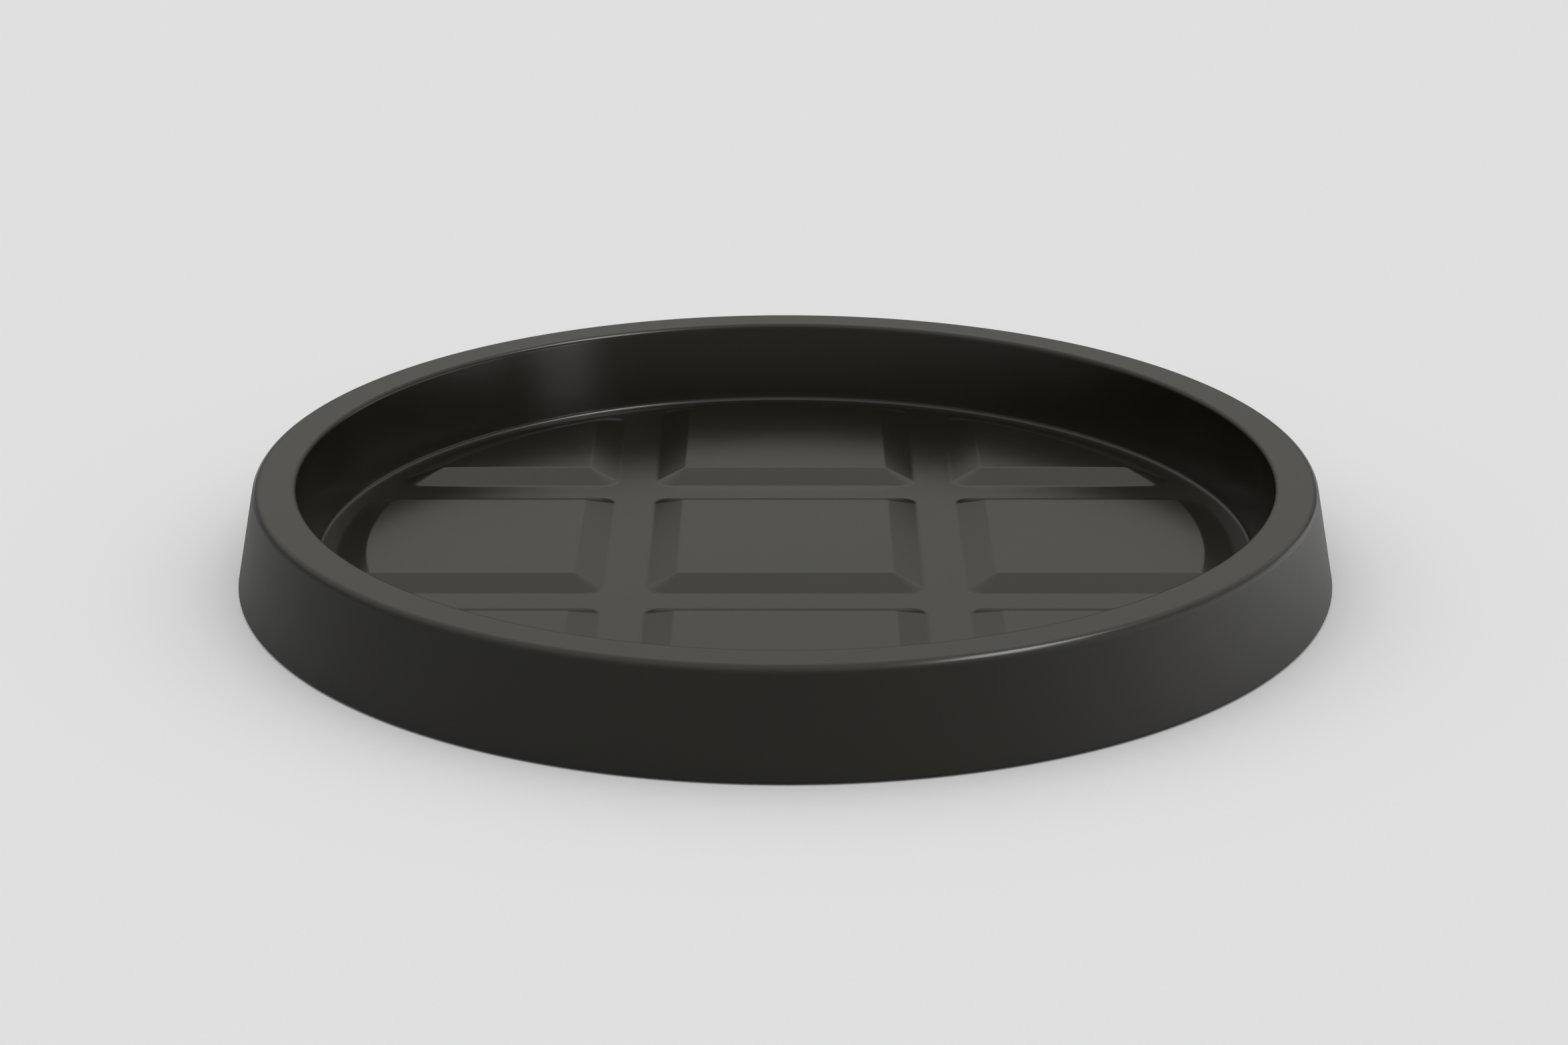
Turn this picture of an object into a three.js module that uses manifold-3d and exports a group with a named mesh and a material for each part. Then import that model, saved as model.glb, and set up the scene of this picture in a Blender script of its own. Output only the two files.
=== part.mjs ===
// Plant saucer: one moulded dish with nine raised pot pads, standing on nine push-in rubber feet.
// Millimetres, +Z up. The origin is on the ground, under the middle of the dish.

import * as THREE from 'three';
import { ConvexGeometry } from 'three/addons/geometries/ConvexGeometry.js';
import { mergeVertices } from 'three/addons/utils/BufferGeometryUtils.js';
import Module from 'manifold-3d';

// Outside of the dish. Heights on the dish are measured from the lower edge of its skirt.
const BASE_RADIUS = 200;
const DISH_HEIGHT = 37.2;
const SKIRT_SPREAD = 7.1;
const RIM_WIDTH = 15.2;
const RIM_OUTER_ROUND = 2.4;
const RIM_INNER_ROUND = 2;
const WALL_THICKNESS = 3;

// Inside of the dish
const WALL_SPREAD = 5.7;
const WALL_FOOT_ROUND = 2.5;
const FLOOR_LIFT = 3.2;
const FLOOR_THICKNESS = 3;

// Pot pads: three rows of three, with water channels between them
const PAD_SIZE = 100;
const PAD_HEIGHT = 3.8;
const PAD_BEVEL = 11.2;
const PAD_FOOT_CORNER = 6.5;
const PAD_TOP_CORNER = 0.8;
const CHANNEL_WIDTH = 14.6;
const FLOOR_MARGIN = 7.3;

// Webs that stiffen the hollow rim from below
const WEB_COUNT = 24;
const WEB_THICKNESS = 2.4;
const WEB_LIFT = 14;

// Push-in feet and the bosses that hold them
const FOOT_DROP = 0.5;
const FOOT_RADIUS = 12;
const FOOT_CHAMFER = 0.8;
const STEM_RADIUS = 4;
const BOSS_WALL = 3.5;
const BOSS_DROP = 1;
const FIT_GAP = 0.3;

// Smoothness of the round shapes
const DISH_SEGMENTS = 72;
const FOOT_SEGMENTS = 16;
const ROUND_STEPS = 3;
const CORNER_STEPS = 4;
const ARC_STEPS = 12;

// Depth by which a solid reaches into the one that it is joined to, or past the one that it cuts
const JOIN_DEPTH = 1;

// Worked out from the sizes above
const rimRadius = BASE_RADIUS - SKIRT_SPREAD;
const rimInnerRadius = rimRadius - RIM_WIDTH;
const floorRadius = rimInnerRadius - WALL_SPREAD;
const floorTop = FLOOR_LIFT + FLOOR_THICKNESS;
const padTop = floorTop + PAD_HEIGHT;
const padReach = floorRadius - FLOOR_MARGIN;
const padNear = PAD_SIZE / 2 + CHANNEL_WIDTH;
const hollowTop = padTop - FLOOR_THICKNESS;
const bossBottom = FLOOR_LIFT - BOSS_DROP;
const socketRadius = STEM_RADIUS + FIT_GAP;
const bossRadius = socketRadius + BOSS_WALL;
const rimUnderside = DISH_HEIGHT - WALL_THICKNESS;

const dishPlastic = new THREE.MeshStandardMaterial({ color: 0x54524d, roughness: 0.45, metalness: 0 });
const footRubber = new THREE.MeshStandardMaterial({ color: 0x242423, roughness: 0.85, metalness: 0 });

// Each pad's name, its kind, and the quarter turns that take its kind to its place
const PADS = [
  { name: 'centre', kind: 'middle', quarters: 0 },
  { name: 'right', kind: 'side', quarters: 0 },
  { name: 'back', kind: 'side', quarters: 1 },
  { name: 'left', kind: 'side', quarters: 2 },
  { name: 'front', kind: 'side', quarters: 3 },
  { name: 'back_right', kind: 'corner', quarters: 0 },
  { name: 'back_left', kind: 'corner', quarters: 1 },
  { name: 'front_left', kind: 'corner', quarters: 2 },
  { name: 'front_right', kind: 'corner', quarters: 3 },
];

const wasm = await Module();
wasm.setup();

// A closed geometry as a solid that can be joined and cut
function solidOf(geometry) {
  geometry.deleteAttribute('normal');
  geometry.deleteAttribute('uv');
  const merged = mergeVertices(geometry);
  const corners = Array.from(merged.index.array);
  const triangles = [];
  for (let i = 0; i < corners.length; i += 3) {
    const [a, b, c] = corners.slice(i, i + 3);
    if (a !== b && b !== c && c !== a) triangles.push(a, b, c);
  }
  return new wasm.Manifold(new wasm.Mesh({
    numProp: 3,
    vertProperties: new Float32Array(merged.attributes.position.array),
    triVerts: new Uint32Array(triangles),
  }));
}

function geometryOf(solid) {
  const mesh = solid.getMesh();
  const geometry = new THREE.BufferGeometry();
  geometry.setAttribute('position', new THREE.BufferAttribute(mesh.vertProperties, 3));
  geometry.setIndex(new THREE.BufferAttribute(mesh.triVerts, 1));
  geometry.computeVertexNormals();
  return geometry;
}

// A solid of revolution about Z, from a profile of radius and height
function turned(profile, segments) {
  return new THREE.LatheGeometry(profile, segments).rotateX(Math.PI / 2);
}

// An upright cylinder between two heights
function post(radius, bottom, top) {
  const geometry = new THREE.CylinderGeometry(radius, radius, top - bottom, FOOT_SEGMENTS);
  return geometry.rotateX(Math.PI / 2).translate(0, 0, (bottom + top) / 2);
}

// Points of the arc that rounds a profile's corner
function roundedCorner(before, corner, after, radius) {
  const toBefore = before.clone().sub(corner).normalize();
  const toAfter = after.clone().sub(corner).normalize();
  const halfAngle = Math.acos(toBefore.dot(toAfter)) / 2;
  const inward = toBefore.clone().add(toAfter).normalize();
  const centre = corner.clone().addScaledVector(inward, radius / Math.sin(halfAngle));
  const setback = radius / Math.tan(halfAngle);
  const start = corner.clone().addScaledVector(toBefore, setback).sub(centre);
  const end = corner.clone().addScaledVector(toAfter, setback).sub(centre);
  const sweep = Math.atan2(start.cross(end), start.dot(end));
  const points = [];
  for (let step = 0; step <= ROUND_STEPS; step += 1) {
    const turn = start.clone().rotateAround(new THREE.Vector2(), (sweep * step) / ROUND_STEPS);
    points.push(centre.clone().add(turn));
  }
  return points;
}

// Outer face of the skirt and inner face of the inner wall, at a height, and how far each is from
// its other face, measured level
function skirtRadius(height) {
  return BASE_RADIUS - (SKIRT_SPREAD * height) / DISH_HEIGHT;
}

function wallRadius(height) {
  return floorRadius + (WALL_SPREAD * (height - floorTop)) / (DISH_HEIGHT - floorTop);
}

const skirtAcross = WALL_THICKNESS * Math.hypot(1, SKIRT_SPREAD / DISH_HEIGHT);
const wallAcross = WALL_THICKNESS * Math.hypot(1, WALL_SPREAD / (DISH_HEIGHT - floorTop));

// The dish without its pads: floor, inner wall, hollow rim and skirt, open underneath
function dishShell() {
  const point = (radius, height) => new THREE.Vector2(radius, height);
  const skirtEdge = point(BASE_RADIUS, 0);
  const rimOuter = point(rimRadius, DISH_HEIGHT);
  const rimInner = point(rimInnerRadius, DISH_HEIGHT);
  const wallFoot = point(floorRadius, floorTop);
  const floorCentre = point(0, floorTop);
  return turned([
    point(0, FLOOR_LIFT),
    point(wallRadius(FLOOR_LIFT) + wallAcross, FLOOR_LIFT),
    point(wallRadius(rimUnderside) + wallAcross, rimUnderside),
    point(skirtRadius(rimUnderside) - skirtAcross, rimUnderside),
    point(BASE_RADIUS - skirtAcross, 0),
    skirtEdge,
    ...roundedCorner(skirtEdge, rimOuter, rimInner, RIM_OUTER_ROUND),
    ...roundedCorner(rimOuter, rimInner, wallFoot, RIM_INNER_ROUND),
    ...roundedCorner(rimInner, wallFoot, floorCentre, WALL_FOOT_ROUND),
    floorCentre,
  ], DISH_SEGMENTS);
}

// Where the corners of a pad's outline are centred, when the outline is pulled in by a distance.
// A side pad lies toward +X and a corner pad toward +X and +Y. Their last two corners end the arc
// that follows the dish.
function padCorners(kind, pull) {
  const half = PAD_SIZE / 2 - pull;
  const near = padNear + pull;
  const onArc = (across) => Math.sqrt((padReach - pull) ** 2 - across ** 2);
  if (kind === 'middle') return [[half, half], [-half, half], [-half, -half], [half, -half]];
  if (kind === 'side') return [[near, half], [near, -half], [onArc(half), -half], [onArc(half), half]];
  return [[near, near], [onArc(near), near], [near, onArc(near)]];
}

// Points of a pad's outline at a height, from its foot at 0 to its top at PAD_HEIGHT
function padOutline(kind, height) {
  const rise = height / PAD_HEIGHT;
  const pull = PAD_BEVEL * rise;
  const round = THREE.MathUtils.lerp(PAD_FOOT_CORNER, PAD_TOP_CORNER, rise);
  const corners = padCorners(kind, pull + round);
  const level = floorTop + height;
  const points = [];
  for (const [x, y] of corners) {
    for (let step = 0; step < 4 * CORNER_STEPS; step += 1) {
      const turn = ((step / CORNER_STEPS) * Math.PI) / 2;
      points.push(new THREE.Vector3(x + round * Math.cos(turn), y + round * Math.sin(turn), level));
    }
  }
  if (kind === 'middle') return points;
  const [from, to] = corners.slice(-2).map(([x, y]) => Math.atan2(y, x));
  for (let step = 0; step <= ARC_STEPS; step += 1) {
    const turn = THREE.MathUtils.lerp(from, to, step / ARC_STEPS);
    const reach = padReach - pull;
    points.push(new THREE.Vector3(reach * Math.cos(turn), reach * Math.sin(turn), level));
  }
  return points;
}

function padBlock(kind) {
  return new ConvexGeometry([...padOutline(kind, -JOIN_DEPTH), ...padOutline(kind, PAD_HEIGHT)]);
}

// Middle of a pad's flat top, where its foot stands
function footPlace(kind) {
  const from = padNear + PAD_BEVEL;
  const to = padReach - PAD_BEVEL;
  if (kind === 'middle') return [0, 0];
  if (kind === 'side') return [(from + to) / 2, 0];
  return [(from + to / Math.SQRT2) / 2, (from + to / Math.SQRT2) / 2];
}

// A web of the hollow rim, standing across it at +X
function rimWeb() {
  const intoWall = WALL_THICKNESS / 2;
  const top = rimUnderside + intoWall;
  const inner = (height) => wallRadius(height) + wallAcross - intoWall;
  const outer = (height) => skirtRadius(height) - skirtAcross + intoWall;
  const outline = new THREE.Shape([
    new THREE.Vector2(inner(WEB_LIFT), WEB_LIFT),
    new THREE.Vector2(outer(WEB_LIFT), WEB_LIFT),
    new THREE.Vector2(outer(top), top),
    new THREE.Vector2(inner(top), top),
  ]);
  const geometry = new THREE.ExtrudeGeometry(outline, { depth: WEB_THICKNESS, bevelEnabled: false });
  return geometry.rotateX(Math.PI / 2).translate(0, WEB_THICKNESS / 2, 0);
}

// The whole moulding: each pad is raised from the floor, hollow below, with a boss for its foot
function dishSolid() {
  let dish = solidOf(dishShell());
  for (const { kind, quarters } of PADS) {
    const [x, y] = footPlace(kind);
    const turn = (quarters * Math.PI) / 2;
    const pad = solidOf(padBlock(kind).rotateZ(turn));
    const hollow = solidOf(padBlock(kind).translate(0, 0, -FLOOR_THICKNESS).rotateZ(turn));
    const boss = post(bossRadius, bossBottom, hollowTop + JOIN_DEPTH).translate(x, y, 0);
    const socket = post(socketRadius, bossBottom - JOIN_DEPTH, hollowTop).translate(x, y, 0);
    dish = dish.add(pad).subtract(hollow);
    dish = dish.add(solidOf(boss.rotateZ(turn))).subtract(solidOf(socket.rotateZ(turn)));
  }
  for (let web = 0; web < WEB_COUNT; web += 1) {
    dish = dish.add(solidOf(rimWeb().rotateZ((web / WEB_COUNT) * 2 * Math.PI)));
  }
  return dish;
}

// A foot: a flat disc on the ground, with a stem that pushes up into its boss
function footGeometry() {
  const discTop = FOOT_DROP + bossBottom - FIT_GAP;
  const stemTop = FOOT_DROP + hollowTop - FIT_GAP;
  return turned([
    new THREE.Vector2(0, 0),
    new THREE.Vector2(FOOT_RADIUS - FOOT_CHAMFER, 0),
    new THREE.Vector2(FOOT_RADIUS, FOOT_CHAMFER),
    new THREE.Vector2(FOOT_RADIUS, discTop),
    new THREE.Vector2(STEM_RADIUS, discTop),
    new THREE.Vector2(STEM_RADIUS, stemTop - FOOT_CHAMFER),
    new THREE.Vector2(STEM_RADIUS - FOOT_CHAMFER, stemTop),
    new THREE.Vector2(0, stemTop),
  ], FOOT_SEGMENTS);
}

const saucer = new THREE.Group();

const dish = new THREE.Mesh(geometryOf(dishSolid()), dishPlastic);
dish.name = 'saucer_dish';
dish.position.z = FOOT_DROP;
saucer.add(dish);

for (const { name, kind, quarters } of PADS) {
  const foot = new THREE.Mesh(footGeometry(), footRubber);
  foot.name = `foot_${name}`;
  foot.position.set(...footPlace(kind), 0);
  const quarterTurn = new THREE.Group();
  quarterTurn.rotation.z = (quarters * Math.PI) / 2;
  quarterTurn.add(foot);
  saucer.add(quarterTurn);
}

export default saucer;
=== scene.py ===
# Plant saucer: the looks of the moulded dish and its rubber feet. Metres, +Z up, in the solids' frame.

import math

import bmesh
import bpy
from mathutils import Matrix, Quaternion, Vector


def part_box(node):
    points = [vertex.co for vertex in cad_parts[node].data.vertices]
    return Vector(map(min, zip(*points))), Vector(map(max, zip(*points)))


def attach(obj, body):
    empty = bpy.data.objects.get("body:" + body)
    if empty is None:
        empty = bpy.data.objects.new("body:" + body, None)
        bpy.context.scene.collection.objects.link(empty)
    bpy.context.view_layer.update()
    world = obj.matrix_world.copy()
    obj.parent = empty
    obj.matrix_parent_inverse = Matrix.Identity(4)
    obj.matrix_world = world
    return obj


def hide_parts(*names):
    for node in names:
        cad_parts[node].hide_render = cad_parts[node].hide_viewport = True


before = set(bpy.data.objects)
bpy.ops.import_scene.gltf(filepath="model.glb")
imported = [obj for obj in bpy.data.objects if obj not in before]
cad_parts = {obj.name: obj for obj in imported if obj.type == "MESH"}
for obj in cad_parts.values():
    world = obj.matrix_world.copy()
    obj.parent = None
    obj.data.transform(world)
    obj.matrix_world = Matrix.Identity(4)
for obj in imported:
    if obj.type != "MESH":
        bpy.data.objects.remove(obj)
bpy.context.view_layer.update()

# Dish, as in the solids, but with a wider round on the rim's outer edge and a tighter one at the foot of the
# wall, as the photograph has them. Heights are measured from the lower edge of the skirt.
dish_low, dish_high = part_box("saucer_dish")
SKIRT_LEVEL = dish_low.z
BASE_RADIUS = dish_high.x
DISH_HEIGHT = dish_high.z - dish_low.z
SKIRT_SPREAD = 0.0071
RIM_WIDTH = 0.0152
RIM_OUTER_ROUND = 0.0031
RIM_INNER_ROUND = 0.002
WALL_THICKNESS = 0.003
WALL_SPREAD = 0.0057
WALL_FOOT_ROUND = 0.0018
FLOOR_LIFT = 0.0032
FLOOR_THICKNESS = 0.003
SKIRT_EDGE_ROUND = 0.0006
HIDDEN_ROUND = 0.0012

# Pot pads
PAD_SIZE = 0.1
PAD_HEIGHT = 0.0038
PAD_BEVEL = 0.0112
PAD_FOOT_CORNER = 0.0065
PAD_TOP_CORNER = 0.0008
PAD_FOOT_ROUND = 0.006
PAD_EDGE_ROUND = 0.0034
CHANNEL_WIDTH = 0.0146
FLOOR_MARGIN = 0.0073

# Kind of each pad, and the quarter turns that take its kind to its places
PAD_TURNS = {"middle": (0,), "side": (0, 1, 2, 3), "corner": (0, 1, 2, 3)}

# Webs in the hollow rim, and bosses for the feet
WEB_COUNT = 24
WEB_THICKNESS = 0.0024
WEB_LIFT = 0.014
BOSS_WALL = 0.0035
BOSS_DROP = 0.001
BOSS_EDGE_ROUND = 0.0003
JOIN_DEPTH = 0.001

# Rubber feet, and the gap between a foot and its boss
FOOT_EDGE_ROUND = 0.0007
STEM_RADIUS = 0.004
STEM_ROOT_ROUND = 0.0003
TREAD_RADII = (0.004, 0.006, 0.008)
TREAD_WIDTH = 0.0009
TREAD_DEPTH = 0.0004
FIT_GAP = 0.0003

# Fineness of the meshes. A guard is a narrow flat strip that keeps a round from shading its neighbour.
DISH_SEGMENTS = 288
FOOT_SEGMENTS = 64
ROUND_STEPS = 8
CORNER_STEPS = 10
ARC_STEPS = 28
GUARD = 0.0003
LEAST_CORNER = 0.00005

# Patterns of the materials: scale and detail of each noise, strength and depth of each bump, and the span of
# a noise's values that is spread over a material's range
NOISE_SPAN = (0.3, 0.7)
PLASTIC_CLOUDS = (45, 4)
PLASTIC_GRAIN = (2600, 2)
PLASTIC_BUMP = (0.05, 0.0002)
RUBBER_BLOOM = (320, 5)
RUBBER_GRAIN = (5200, 3)
RUBBER_BUMP = (0.25, 0.0003)
PAPER_FIBRES = (900, 4)

# Colours and gloss of the materials. The plastic is satin on the rim and in the dish and matt on the outside
# of the skirt, and the finish turns between two distances from the corner of the rim.
PLASTIC_COLOURS = ((0.0038, 0.0034, 0.0016), (0.0044, 0.0040, 0.0020))
PLASTIC_IOR = 1.35
SATIN_TO_MATT = (0.21, 0.5)
FINISH_TURN = (-0.0004, 0.0001)
FINISH_SPREAD = 0.01
RUBBER_COLOURS = ((0.010, 0.010, 0.010), (0.022, 0.021, 0.020))
RUBBER_ROUGHNESS = (0.72, 0.86)
PAPER_COLOURS = ((0.630, 0.636, 0.668), (0.640, 0.646, 0.678))
PAPER_ROUGHNESS = 0.9
PAPER_SPECULAR = 0.0

# Studio floor
FLOOR_SIZE = 200.0
FLOOR_CELLS = 8

# Dome: heights of its directions, from level to straight up, and the brightness there behind the object and
# in front of it. The one turns into the other where a direction's Y lies between two values.
DOME_HEIGHTS = (0.0, 0.12, 0.26, 0.34, 0.42, 0.6, 0.8, 1.0)
DOME_BACK = (0.09, 0.28, 0.42, 0.67, 0.83, 1.04, 1.36, 1.70)
DOME_FRONT = (0.84, 0.80, 0.68, 0.68, 0.76, 1.02, 1.40, 1.70)
DOME_TURN = (-0.3, 0.3)
DOME_TINT = (1.0, 0.992, 0.945, 1.0)

# Softboxes on the right, for the dish alone: place, width and height in metres, brightness, and roll
SOFTBOXES = {
    "low_strip": ((0.36, -0.01, 0.0225), (0.42, 0.045), 2.4, 0),
    "side_panel": ((1.97, 0.5, 0.3), (2.1, 0.6), 1.4, 0),
    "key_light": ((0.99, -0.27, 1.81), (1.3, 0.5), 11.5, math.radians(22)),
    "low_fill": ((1.674, -1.006, 0.31), (0.5, 0.34), 4.2, 0),
}
SOFTBOX_TARGET = Vector((0, 0, 0.03))

# Camera of the photograph: sensor and focal length in millimetres, place in metres
SENSOR_WIDTH = 36
CAMERA_LENS = 79.82
CAMERA_PLACE = (-0.0005, -1.2015, 0.4553)
CAMERA_PITCH = math.radians(20.11)

# Worked out from the sizes above. The last two are the thickness of the sloped walls, measured level.
rim_radius = BASE_RADIUS - SKIRT_SPREAD
rim_inner_radius = rim_radius - RIM_WIDTH
floor_radius = rim_inner_radius - WALL_SPREAD
floor_top = FLOOR_LIFT + FLOOR_THICKNESS
pad_reach = floor_radius - FLOOR_MARGIN
pad_near = PAD_SIZE / 2 + CHANNEL_WIDTH
hollow_top = floor_top + PAD_HEIGHT - FLOOR_THICKNESS
socket_radius = STEM_RADIUS + FIT_GAP
boss_radius = socket_radius + BOSS_WALL
boss_bottom = FLOOR_LIFT - BOSS_DROP
rim_underside = DISH_HEIGHT - WALL_THICKNESS
floor_ring = (pad_reach + floor_radius) / 2
skirt_across = WALL_THICKNESS * math.hypot(1, SKIRT_SPREAD / DISH_HEIGHT)
wall_across = WALL_THICKNESS * math.hypot(1, WALL_SPREAD / (DISH_HEIGHT - floor_top))


def skirt_radius(height):
    return BASE_RADIUS - SKIRT_SPREAD * height / DISH_HEIGHT


def wall_radius(height):
    return floor_radius + WALL_SPREAD * (height - floor_top) / (DISH_HEIGHT - floor_top)


# Shapes and objects in general


def lerp(low, high, share):
    return low + (high - low) * share


def turned(x, y, cosine, sine):
    """A flat point turned about the origin by an angle with this cosine and sine."""
    return x * cosine - y * sine, x * sine + y * cosine


def rounded_line(corners):
    """Points of an open line of (x, y, radius) corners. A radius gives an arc between two guards."""
    points = []
    for index, (x, y, radius) in enumerate(corners):
        corner = Vector((x, y))
        if not radius:
            points.append(corner)
            continue
        back = (Vector(corners[index - 1][:2]) - corner).normalized()
        ahead = (Vector(corners[index + 1][:2]) - corner).normalized()
        half = back.angle(ahead) / 2
        setback = radius / math.tan(half)
        centre = corner + (back + ahead).normalized() * (radius / math.sin(half))
        start = corner + back * setback - centre
        sweep = start.angle_signed(corner + ahead * setback - centre)
        points.append(corner + back * (setback + GUARD))
        for step in range(ROUND_STEPS + 1):
            turn = -sweep * step / ROUND_STEPS
            points.append(centre + Vector(turned(start.x, start.y, math.cos(turn), math.sin(turn))))
        points.append(corner + ahead * (setback + GUARD))
    return points


def circle(radius, height, segments, centre):
    turns = [2 * math.pi * step / segments for step in range(segments)]
    return [
        (centre[0] + radius * math.cos(turn), centre[1] + radius * math.sin(turn), height)
        for turn in turns
    ]


def add_ring(mesh, points):
    return [mesh.verts.new(point) for point in points]


def add_band(mesh, first, second):
    """Quads between two rings of as many points."""
    for index in range(len(first)):
        after = (index + 1) % len(first)
        mesh.faces.new((first[index], first[after], second[after], second[index]))


def add_turned(mesh, profile, segments, centre=(0, 0)):
    """A turned surface from (radius, height) points. Ends on the axis are closed. Returns its rings."""
    rings = []
    for radius, height in profile:
        if radius:
            rings.append(add_ring(mesh, circle(radius, height, segments, centre)))
        else:
            rings.append([mesh.verts.new((*centre, height))])
    for first, second in zip(rings, rings[1:]):
        if len(first) == len(second):
            add_band(mesh, first, second)
            continue
        tip, ring = (first[0], second) if len(first) == 1 else (second[0], first)
        for index, point in enumerate(ring):
            mesh.faces.new((tip, point, ring[(index + 1) % segments]))
    return rings


def ring_edges(mesh, ring):
    return [mesh.edges.get((ring[index - 1], ring[index])) for index in range(len(ring))]


def fill_between(mesh, outer, holes):
    """Flat faces inside a ring and outside the rings in it."""
    edges = [edge for ring in (outer, *holes) for edge in ring_edges(mesh, ring)]
    bmesh.ops.triangle_fill(mesh, use_beauty=True, edges=edges, normal=(0, 0, 1))


def add_object(name, data):
    item = bpy.data.objects.new(name, data)
    bpy.context.scene.collection.objects.link(item)
    return item


def add_mesh_object(mesh, name, material):
    data = bpy.data.meshes.new(name)
    mesh.to_mesh(data)
    mesh.free()
    data.materials.append(material)
    return add_object(name, data)


def finished_piece(mesh, name, material, node):
    """Turns a mesh into a piece that stands for a node of the solids."""
    bmesh.ops.recalc_face_normals(mesh, faces=mesh.faces)
    piece = add_mesh_object(mesh, name, material)
    piece.data.shade_smooth()
    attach(piece, "root")
    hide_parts(node)
    return piece


# The feet


def foot_nodes():
    return sorted(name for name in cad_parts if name.startswith("foot_"))


def foot_centre(node):
    low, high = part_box(node)
    return ((low.x + high.x) / 2, (low.y + high.y) / 2)


def foot_profile(radius, stem_top):
    """A foot's section, from its middle over the tread rings and the disc to the end of its stem."""
    disc_top = SKIRT_LEVEL + boss_bottom - FIT_GAP
    corners = [(0, 0, 0)]
    for tread in TREAD_RADII:
        corners += [
            (tread - TREAD_WIDTH / 2, 0, 0),
            (tread, TREAD_DEPTH, 0),
            (tread + TREAD_WIDTH / 2, 0, 0),
        ]
    corners += [
        (radius, 0, FOOT_EDGE_ROUND),
        (radius, disc_top, FOOT_EDGE_ROUND),
        (STEM_RADIUS, disc_top, STEM_ROOT_ROUND),
        (STEM_RADIUS, stem_top, FOOT_EDGE_ROUND),
        (0, stem_top, 0),
    ]
    return rounded_line(corners)


def make_feet(material):
    for node in foot_nodes():
        low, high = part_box(node)
        mesh = bmesh.new()
        profile = foot_profile((high.x - low.x) / 2, high.z)
        add_turned(mesh, profile, FOOT_SEGMENTS, foot_centre(node))
        finished_piece(mesh, node.replace("foot", "rubber_foot"), material, node)


# The dish


def dish_profile():
    """The dish's section, from its floor over the rim and round its hollow to the floor's underside."""
    wall_back = wall_radius(rim_underside) + wall_across
    skirt_back = skirt_radius(rim_underside) - skirt_across
    return rounded_line([
        (floor_ring, floor_top, 0),
        (floor_radius, floor_top, WALL_FOOT_ROUND),
        (rim_inner_radius, DISH_HEIGHT, RIM_INNER_ROUND),
        (rim_radius, DISH_HEIGHT, RIM_OUTER_ROUND),
        (BASE_RADIUS, 0, SKIRT_EDGE_ROUND),
        (BASE_RADIUS - skirt_across, 0, SKIRT_EDGE_ROUND),
        (skirt_back, rim_underside, HIDDEN_ROUND),
        (wall_back, rim_underside, HIDDEN_ROUND),
        (wall_radius(FLOOR_LIFT) + wall_across, FLOOR_LIFT, HIDDEN_ROUND),
        (floor_ring, FLOOR_LIFT, 0),
    ])


def pad_corners(kind, pull):
    """Corner centres of a pad's outline pulled in by a distance, in order, with their arcs' angles."""
    half = PAD_SIZE / 2 - pull
    near = pad_near + pull
    reach = pad_reach - pull
    quarter = math.pi / 2
    if kind == "middle":
        return [
            (half, half, 0, quarter),
            (-half, half, quarter, 2 * quarter),
            (-half, -half, 2 * quarter, 3 * quarter),
            (half, -half, 3 * quarter, 4 * quarter),
        ]
    if kind == "side":
        end = math.asin(half / reach)
        far = reach * math.cos(end)
        return [
            (far, -half, -quarter, -end),
            (far, half, end, quarter),
            (near, half, quarter, 2 * quarter),
            (near, -half, 2 * quarter, 3 * quarter),
        ]
    end = math.asin(near / reach)
    far = reach * math.cos(end)
    return [
        (far, near, -quarter, end),
        (near, far, quarter - end, 2 * quarter),
        (near, near, 2 * quarter, 3 * quarter),
    ]


def pad_outer_side(pull, start, end):
    """Points between the two ends of an outer pad's far side, an arc round the middle of the dish."""
    reach = pad_reach - pull
    angles = [lerp(start, end, step / ARC_STEPS) for step in range(1, ARC_STEPS)]
    return [(reach * math.cos(angle), reach * math.sin(angle)) for angle in angles]


def pad_outline(kind, pull, height, turn):
    """A pad's outline pulled in by a distance, in order, at a height and turned to its place."""
    corner = max(LEAST_CORNER, lerp(PAD_FOOT_CORNER, PAD_TOP_CORNER, pull / PAD_BEVEL))
    corners = pad_corners(kind, pull + corner)
    flat = []
    for index, (x, y, start, end) in enumerate(corners):
        for step in range(CORNER_STEPS + 1):
            angle = lerp(start, end, step / CORNER_STEPS)
            flat.append((x + corner * math.cos(angle), y + corner * math.sin(angle)))
        if index == 0 and kind != "middle":
            flat += pad_outer_side(pull, end, corners[1][2])
    cosine, sine = round(math.cos(turn)), round(math.sin(turn))
    return [(*turned(x, y, cosine, sine), height) for x, y in flat]


def add_pad(mesh, kind, turn, base):
    """One pad's slopes and flat top, standing on a level. Returns its ring on that level."""
    slope = rounded_line([
        (-PAD_BEVEL, 0, 0),
        (0, 0, PAD_FOOT_ROUND),
        (PAD_BEVEL, PAD_HEIGHT, PAD_EDGE_ROUND),
        (2 * PAD_BEVEL, PAD_HEIGHT, 0),
    ])[1:-1]
    rings = [add_ring(mesh, pad_outline(kind, pull, base + rise, turn)) for pull, rise in slope]
    for first, second in zip(rings, rings[1:]):
        add_band(mesh, first, second)
    mesh.faces.new(rings[-1])
    return rings[0]


def add_boss(mesh, centre):
    """A boss under a pad, with the blind socket that takes a foot's stem."""
    root = hollow_top + JOIN_DEPTH
    profile = rounded_line([
        (0, hollow_top, 0),
        (socket_radius, hollow_top, 0),
        (socket_radius, boss_bottom, BOSS_EDGE_ROUND),
        (boss_radius, boss_bottom, BOSS_EDGE_ROUND),
        (boss_radius, root, 0),
        (0, root, 0),
    ])
    add_turned(mesh, profile, FOOT_SEGMENTS, centre)


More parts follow.
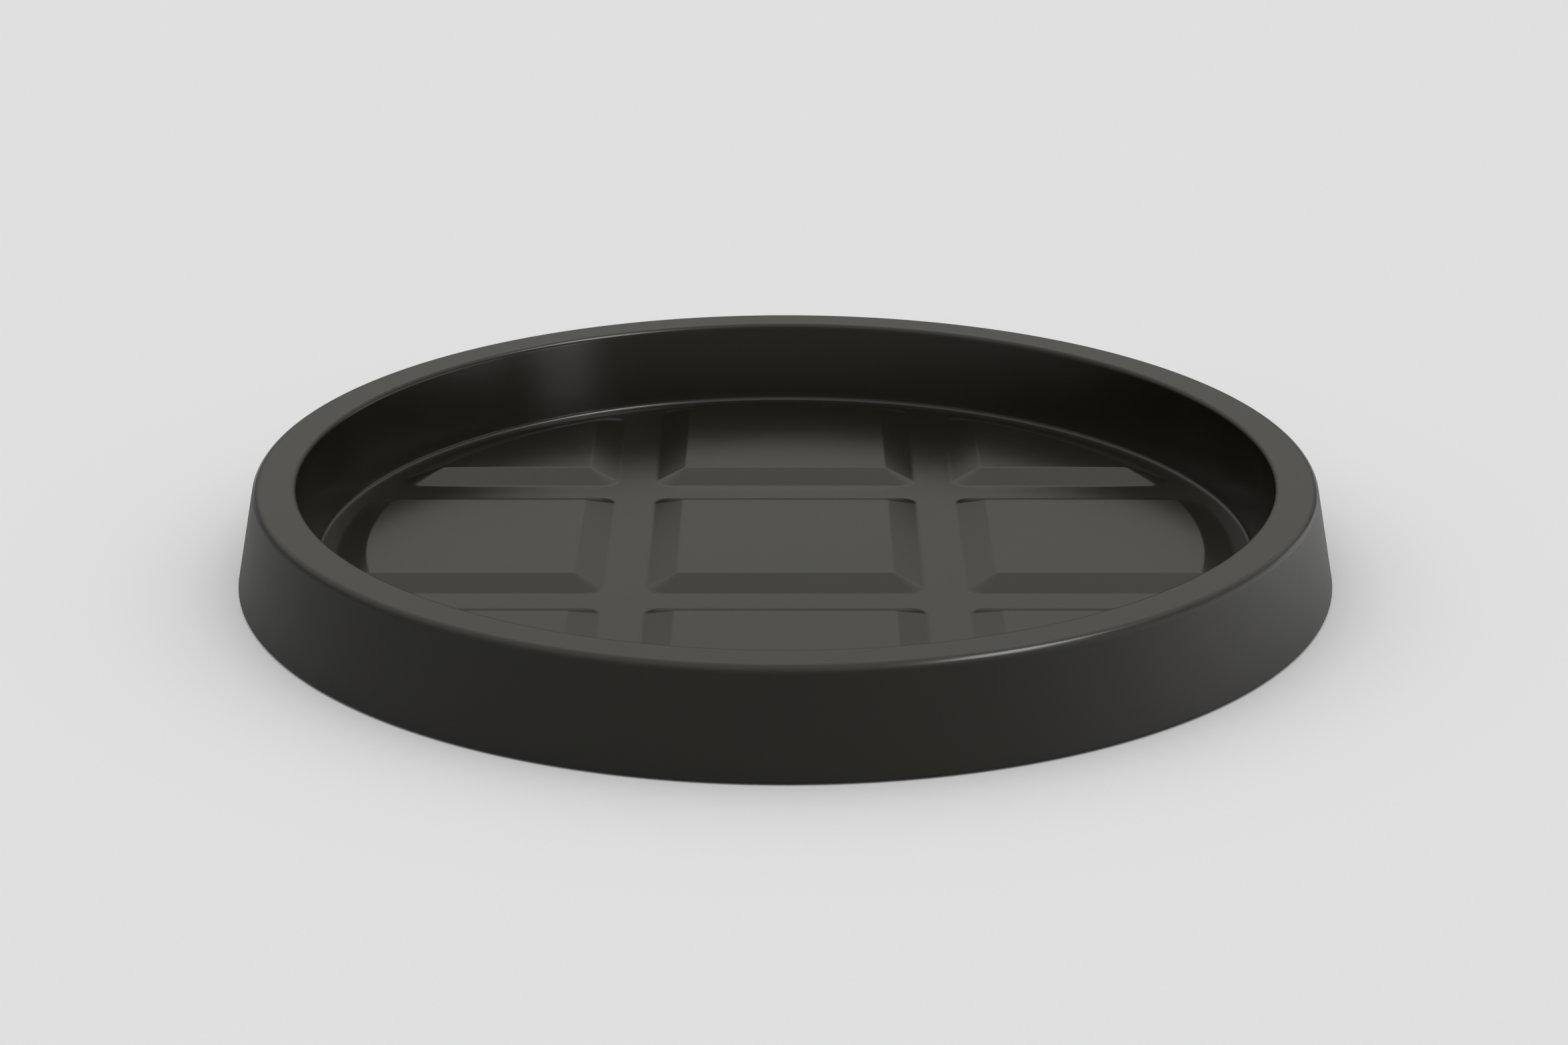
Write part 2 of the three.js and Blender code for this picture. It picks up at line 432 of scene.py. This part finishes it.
def add_web(mesh, turn):
    """A web across the hollow rim, sunk halfway into the walls that it joins."""
    sunk = WALL_THICKNESS / 2
    top = rim_underside + sunk
    section = [
        (wall_radius(WEB_LIFT) + wall_across - sunk, WEB_LIFT),
        (skirt_radius(WEB_LIFT) - skirt_across + sunk, WEB_LIFT),
        (skirt_radius(top) - skirt_across + sunk, top),
        (wall_radius(top) + wall_across - sunk, top),
    ]
    cosine, sine = math.cos(turn), math.sin(turn)
    sides = []
    for offset in (-WEB_THICKNESS / 2, WEB_THICKNESS / 2):
        points = [(*turned(radius, offset, cosine, sine), height) for radius, height in section]
        sides.append(add_ring(mesh, points))
        mesh.faces.new(sides[-1])
    add_band(mesh, *sides)


def make_dish(material):
    mesh = bmesh.new()
    rings = add_turned(mesh, dish_profile(), DISH_SEGMENTS)
    pads = []
    hollows = []
    for kind, quarters in PAD_TURNS.items():
        for quarter in quarters:
            turn = quarter * math.pi / 2
            pads.append(add_pad(mesh, kind, turn, floor_top))
            hollows.append(add_pad(mesh, kind, turn, FLOOR_LIFT))
    fill_between(mesh, rings[0], pads)
    fill_between(mesh, rings[-1], hollows)
    for node in foot_nodes():
        add_boss(mesh, foot_centre(node))
    for web in range(WEB_COUNT):
        add_web(mesh, 2 * math.pi * web / WEB_COUNT)
    bmesh.ops.translate(mesh, verts=mesh.verts, vec=(0, 0, SKIRT_LEVEL))
    return finished_piece(mesh, "dish_moulding", material, "saucer_dish")


# Materials


def new_material(name):
    """A node material with its shader, and the coordinates of the object that it is on."""
    material = bpy.data.materials.new(name)
    material.use_nodes = True
    nodes = material.node_tree.nodes
    shader = nodes["Principled BSDF"]
    place = nodes.new("ShaderNodeTexCoord").outputs["Object"]
    return material, shader, place


def noise(material, place, scale, detail):
    node = material.node_tree.nodes.new("ShaderNodeTexNoise")
    node.inputs["Scale"].default_value = scale
    node.inputs["Detail"].default_value = detail
    material.node_tree.links.new(place, node.inputs["Vector"])
    return node.outputs["Fac"]


def map_range(tree, value, source, target=(0, 1), kind="LINEAR"):
    """A node that takes a value from one span to another."""
    node = tree.nodes.new("ShaderNodeMapRange")
    node.interpolation_type = kind
    for end, number in zip(("From Min", "From Max", "To Min", "To Max"), (*source, *target)):
        node.inputs[end].default_value = number
    tree.links.new(value, node.inputs["Value"])
    return node


def spread_noise(material, value, span):
    """A noise value spread between two numbers."""
    return map_range(material.node_tree, value, NOISE_SPAN, span).outputs["Result"]


def tinted(material, value, colours):
    """A colour between two, by a noise value."""
    node = material.node_tree.nodes.new("ShaderNodeValToRGB")
    for stop, position, colour in zip(node.color_ramp.elements, NOISE_SPAN, colours):
        stop.position = position
        stop.color = (*colour, 1)
    material.node_tree.links.new(value, node.inputs["Fac"])
    return node.outputs["Color"]


def bumped(material, height, strength, distance):
    node = material.node_tree.nodes.new("ShaderNodeBump")
    node.inputs["Strength"].default_value = strength
    node.inputs["Distance"].default_value = distance
    material.node_tree.links.new(height, node.inputs["Height"])
    return node.outputs["Normal"]


def plastic_finish(material, place, clouds):
    """Roughness by the distance from the middle of the dish, a little uneven."""
    tree = material.node_tree
    across = tree.nodes.new("ShaderNodeSeparateXYZ")
    tree.links.new(place, across.inputs["Vector"])
    level_place = tree.nodes.new("ShaderNodeCombineXYZ")
    for axis in ("X", "Y"):
        tree.links.new(across.outputs[axis], level_place.inputs[axis])
    radius = tree.nodes.new("ShaderNodeVectorMath")
    radius.operation = "LENGTH"
    tree.links.new(level_place.outputs["Vector"], radius.inputs[0])
    turn = [rim_radius + distance for distance in FINISH_TURN]
    finish = map_range(tree, radius.outputs["Value"], turn, SATIN_TO_MATT, "SMOOTHSTEP")
    uneven = tree.nodes.new("ShaderNodeMath")
    uneven.operation = "ADD"
    tree.links.new(finish.outputs["Result"], uneven.inputs[0])
    tree.links.new(spread_noise(material, clouds, (-FINISH_SPREAD, FINISH_SPREAD)), uneven.inputs[1])
    return uneven.outputs["Value"]


def dish_plastic():
    """Moulded plastic: nearly black, a little uneven in colour and gloss, with a very fine grain."""
    material, shader, place = new_material("dish_plastic")
    links = material.node_tree.links
    clouds = noise(material, place, *PLASTIC_CLOUDS)
    grain = noise(material, place, *PLASTIC_GRAIN)
    links.new(tinted(material, clouds, PLASTIC_COLOURS), shader.inputs["Base Color"])
    links.new(plastic_finish(material, place, clouds), shader.inputs["Roughness"])
    shader.inputs["IOR"].default_value = PLASTIC_IOR
    links.new(bumped(material, grain, *PLASTIC_BUMP), shader.inputs["Normal"])
    return material


def foot_rubber():
    """Matt black rubber with a dusty bloom and a fine grain."""
    material, shader, place = new_material("foot_rubber")
    links = material.node_tree.links
    bloom = noise(material, place, *RUBBER_BLOOM)
    grain = noise(material, place, *RUBBER_GRAIN)
    links.new(tinted(material, bloom, RUBBER_COLOURS), shader.inputs["Base Color"])
    links.new(spread_noise(material, bloom, RUBBER_ROUGHNESS), shader.inputs["Roughness"])
    links.new(bumped(material, grain, *RUBBER_BUMP), shader.inputs["Normal"])
    return material


def floor_paper():
    """Matt pale paper."""
    material, shader, place = new_material("floor_paper")
    fibres = noise(material, place, *PAPER_FIBRES)
    material.node_tree.links.new(tinted(material, fibres, PAPER_COLOURS), shader.inputs["Base Color"])
    shader.inputs["Roughness"].default_value = PAPER_ROUGHNESS
    shader.inputs["Specular IOR Level"].default_value = PAPER_SPECULAR
    return material


# Studio


def make_floor():
    mesh = bmesh.new()
    bmesh.ops.create_grid(mesh, x_segments=FLOOR_CELLS, y_segments=FLOOR_CELLS, size=FLOOR_SIZE / 2)
    floor = add_mesh_object(mesh, "studio_floor", floor_paper())


def make_dome():
    """A world that is bright overhead, dark low down behind the object, and fairly even in front of it."""
    world = bpy.data.worlds.new("studio_dome")
    world.use_nodes = True
    bpy.context.scene.world = world
    nodes, links = world.node_tree.nodes, world.node_tree.links
    direction = nodes.new("ShaderNodeSeparateXYZ")
    links.new(nodes.new("ShaderNodeTexCoord").outputs["Generated"], direction.inputs["Vector"])
    side = map_range(world.node_tree, direction.outputs["Y"], DOME_TURN, kind="SMOOTHSTEP")
    for levels, end in ((DOME_FRONT, "To Min"), (DOME_BACK, "To Max")):
        ramp = nodes.new("ShaderNodeValToRGB")
        stops = ramp.color_ramp.elements
        for height in DOME_HEIGHTS[1:-1]:
            stops.new(height)
        for stop, level in zip(stops, levels):
            stop.color = (level, level, level, 1)
        links.new(direction.outputs["Z"], ramp.inputs["Fac"])
        links.new(ramp.outputs["Color"], side.inputs[end])
    background = nodes["Background"]
    background.inputs["Color"].default_value = DOME_TINT
    links.new(side.outputs["Result"], background.inputs["Strength"])


def make_softboxes(dish):
    """Area lamps that light the dish alone. A lamp's energy is its brightness times pi times its area."""
    lit = bpy.data.collections.new("softbox_lit")
    lit.objects.link(dish)
    for name, (place, (width, height), level, roll) in SOFTBOXES.items():
        data = bpy.data.lights.new(name, "AREA")
        data.shape = "RECTANGLE"
        data.size = width
        data.size_y = height
        data.energy = level * math.pi * width * height
        lamp = add_object(name, data)
        lamp.location = place
        facing = (SOFTBOX_TARGET - Vector(place)).to_track_quat("-Z", "Y")
        lamp.rotation_euler = (facing @ Quaternion((0, 0, 1), roll)).to_euler()
        lamp.light_linking.receiver_collection = lit


def make_camera():
    data = bpy.data.cameras.new("photo_camera")
    data.sensor_width = SENSOR_WIDTH
    data.lens = CAMERA_LENS
    camera = add_object("photo_camera", data)
    camera.location = CAMERA_PLACE
    camera.rotation_euler = (math.pi / 2 - CAMERA_PITCH, 0, 0)
    bpy.context.scene.camera = camera


make_camera()
make_dome()
make_floor()
make_softboxes(make_dish(dish_plastic()))
make_feet(foot_rubber())
bpy.context.scene.view_settings.view_transform = "Standard"
